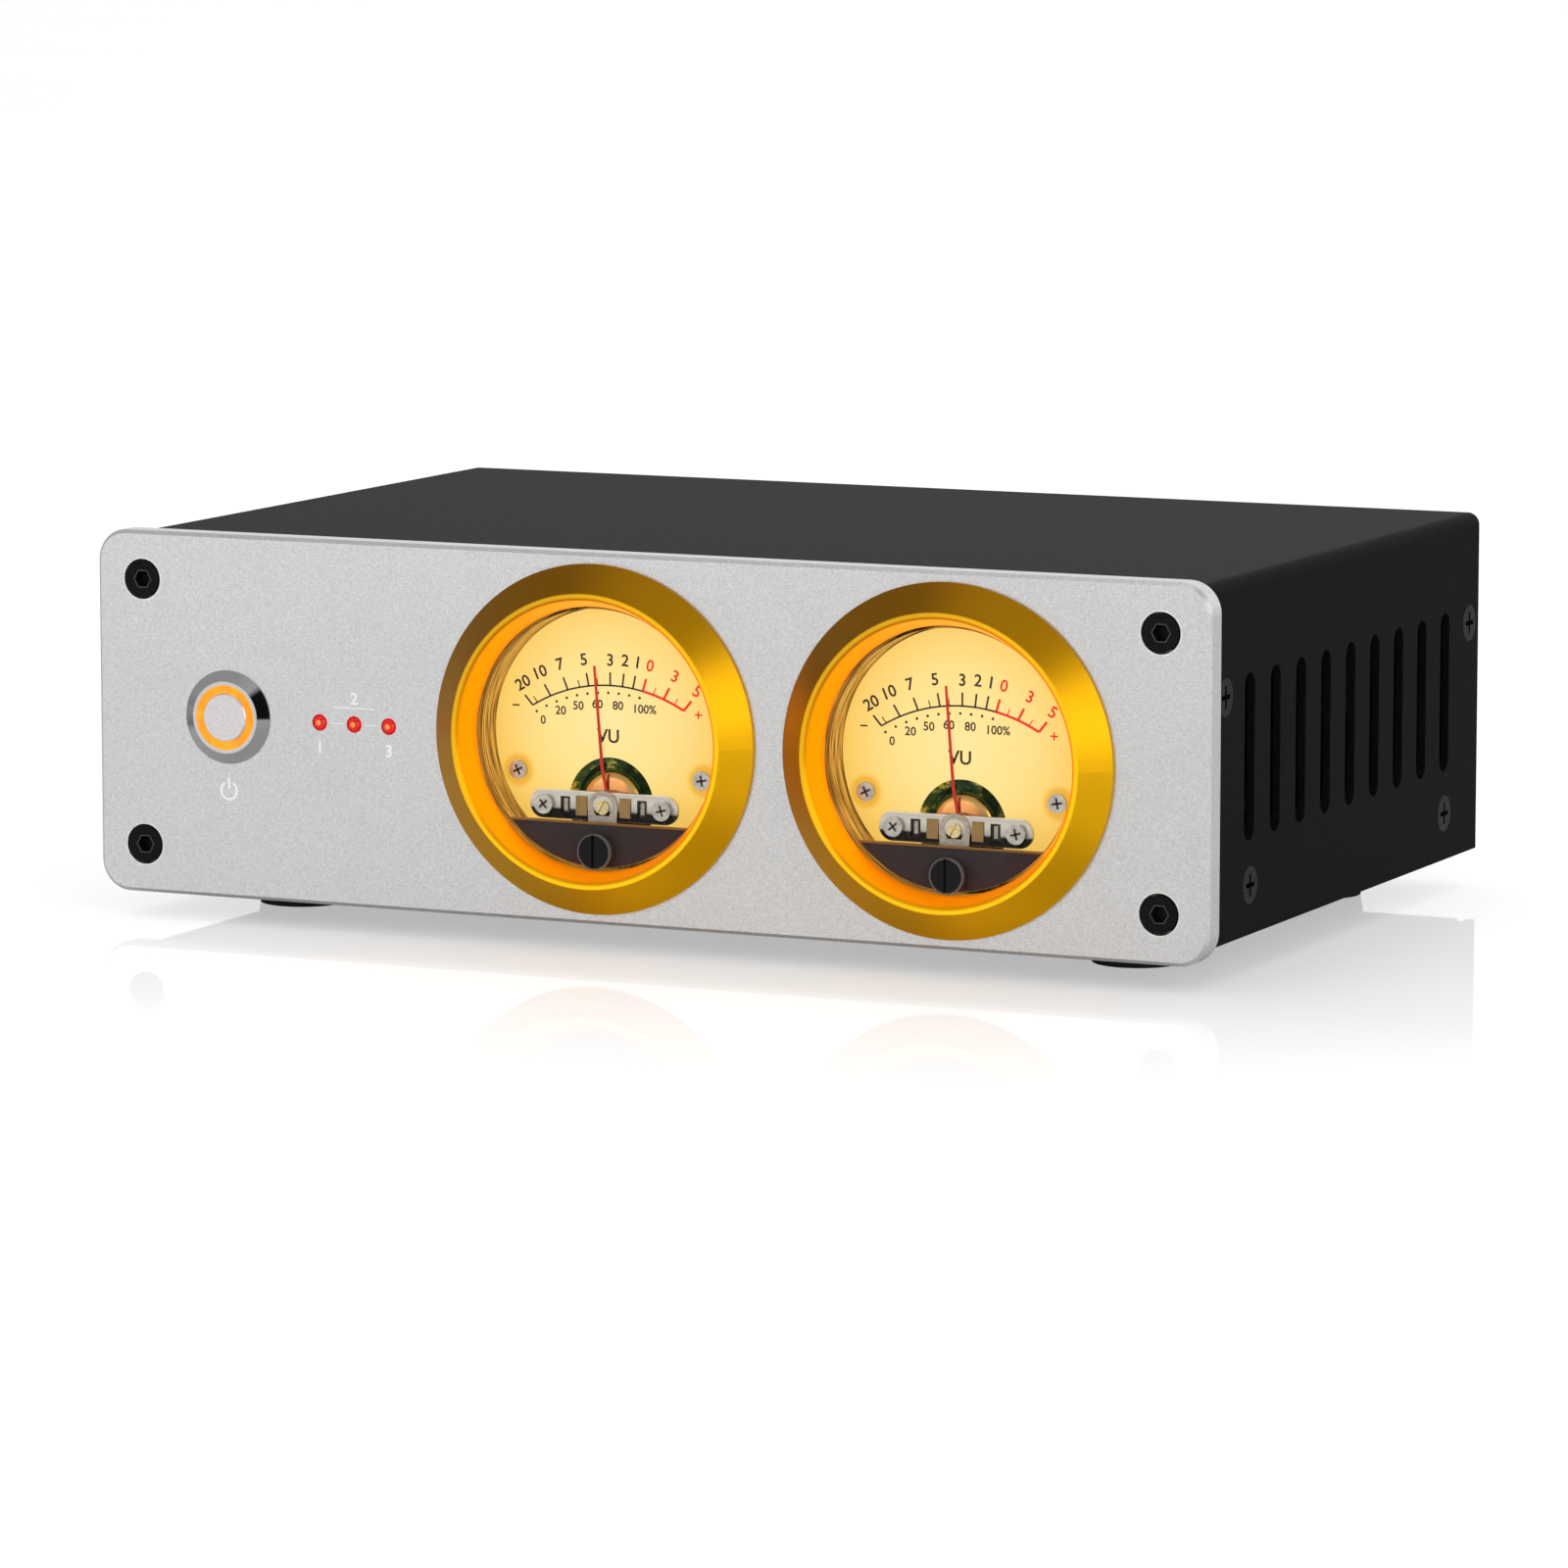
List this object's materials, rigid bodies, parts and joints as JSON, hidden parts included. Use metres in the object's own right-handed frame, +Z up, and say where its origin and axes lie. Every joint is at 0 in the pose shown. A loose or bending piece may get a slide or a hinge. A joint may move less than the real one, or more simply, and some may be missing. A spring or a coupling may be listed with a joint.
{
  "type": "analog vu meter",
  "caption": "Desktop stereo level meter: round moving-coil meters, a lit push-button and indicator lamps in a thick metal front, on a vented folded-steel case with rubber feet.",
  "frame": {"origin": "on the table, under the middle of the whole object's box", "axes": "+X to the right seen from the front, front faces -Y, +Z up"},
  "size_m": [0.23, 0.1636, 0.075],
  "materials": {
    "brushed_aluminium": "fine brushed",
    "black_screw_steel": "black oxide",
    "zinc_steel": "zinc plated",
    "black_powder_coat": "fine texture",
    "foot_rubber": "matt",
    "switch_chrome": "polished",
    "switch_cap_metal": "satin",
    "orange_light": "lit from behind",
    "nickel": "nickel plated",
    "red_lens": "clear red",
    "circuit_board": "solder mask",
    "gold_contact": "gold plated",
    "socket_plastic": "moulded",
    "gold_bezel": "turned and anodised",
    "window_clear": "clear",
    "mask_black": "moulded",
    "housing_plastic": "moulded",
    "dial_face": "printed",
    "bridge_metal": "nickel plated",
    "jewel_brass": "turned",
    "yoke_iron": "soft iron",
    "coil_copper": "wound wire",
    "pointer_red": "lacquered",
    "spring_bronze": "bright"
  },
  "bodies": {
    "root": {"bezel_left": "gold_bezel", "bezel_right": "gold_bezel", "board_standoffs": "nickel", "bottom_chassis": "black_powder_coat", "bridge_left": "bridge_metal", "bridge_right": "bridge_metal", "bridge_screws": "bridge_metal", "core_magnet_left": "yoke_iron", "core_magnet_right": "yoke_iron", "cover_screws": "black_screw_steel", "dc_jack": "socket_plastic", "dc_nut": "zinc_steel", "dial_plate_left": "dial_face", "dial_plate_right": "dial_face", "dial_screws": "bridge_metal", "foot_screws": "zinc_steel", "front_panel": "brushed_aluminium", "front_panel_nuts": "zinc_steel", "front_panel_screws": "black_screw_steel", "front_subpanel": "zinc_steel", "housing_left": "housing_plastic", "housing_right": "housing_plastic", "housing_screws": "zinc_steel", "indicator_board": "circuit_board", "indicator_leds": "red_lens", "indicator_spacers": "nickel", "jewel_screws": "jewel_brass", "lamp_board_left": "circuit_board", "lamp_board_right": "circuit_board", "main_board": "circuit_board", "mask_left": "mask_black", "mask_right": "mask_black", "movement_frame_left": "housing_plastic", "movement_frame_right": "housing_plastic", "rca_inserts": "socket_plastic", "rca_nuts": "nickel", "rca_shells": "gold_contact", "rear_panel": "black_powder_coat", "rubber_feet": "foot_rubber", "switch_body": "switch_chrome", "switch_light_ring": "orange_light", "switch_nut": "nickel", "top_cover": "black_powder_coat", "window_left": "window_clear", "window_right": "window_clear", "yoke_ring_left": "yoke_iron", "yoke_ring_right": "yoke_iron"},
    "button": {"switch_cap": "switch_cap_metal"},
    "movement_left": {"coil_left": "coil_copper", "pointer_left": "pointer_red", "hairspring_left": "spring_bronze"},
    "zero_screw_left": {"zero_screw_left": "mask_black"},
    "zero_arm_left": {"zero_arm_left": "jewel_brass"},
    "movement_right": {"coil_right": "coil_copper", "pointer_right": "pointer_red", "hairspring_right": "spring_bronze"},
    "zero_screw_right": {"zero_screw_right": "mask_black"},
    "zero_arm_right": {"zero_arm_right": "jewel_brass"}
  },
  "joints": [
    {"name": "power_button", "type": "slide", "parent": "root", "child": "button", "axis": [0, 1, 0], "range_m": [0, 0.002], "stiffness_N_per_m": 400, "springref_m": -0.0015},
    {"name": "pointer_left", "type": "hinge", "parent": "root", "child": "movement_left", "pos_m": [-0.0086, -0.07115, 0.0268], "axis": [0, 1, 0], "range_deg": [-37.3, 48.7], "stiffness_Nm_per_rad": 0.00002, "springref_deg": -35.3},
    {"name": "zero_screw_left", "type": "hinge", "parent": "root", "child": "zero_screw_left", "pos_m": [-0.0086, -0.07715, 0.0188], "axis": [0, 1, 0], "range_deg": [-35, 35]},
    {"name": "zero_arm_left", "type": "hinge", "parent": "root", "child": "zero_arm_left", "pos_m": [-0.0086, -0.07215, 0.0268], "axis": [0, 1, 0], "range_deg": [-5.3, 5.3]},
    {"name": "pointer_right", "type": "hinge", "parent": "root", "child": "movement_right", "pos_m": [0.0634, -0.07115, 0.0268], "axis": [0, 1, 0], "range_deg": [-37.3, 48.7], "stiffness_Nm_per_rad": 0.00002, "springref_deg": -35.3},
    {"name": "zero_screw_right", "type": "hinge", "parent": "root", "child": "zero_screw_right", "pos_m": [0.0634, -0.07715, 0.0188], "axis": [0, 1, 0], "range_deg": [-35, 35]},
    {"name": "zero_arm_right", "type": "hinge", "parent": "root", "child": "zero_arm_right", "pos_m": [0.0634, -0.07215, 0.0268], "axis": [0, 1, 0], "range_deg": [-5.3, 5.3]}
  ],
  "couplings": [
    {"joint": "zero_arm_left", "follows": "zero_screw_left", "ratio": 0.14894},
    {"joint": "zero_arm_right", "follows": "zero_screw_right", "ratio": 0.14894}
  ]
}
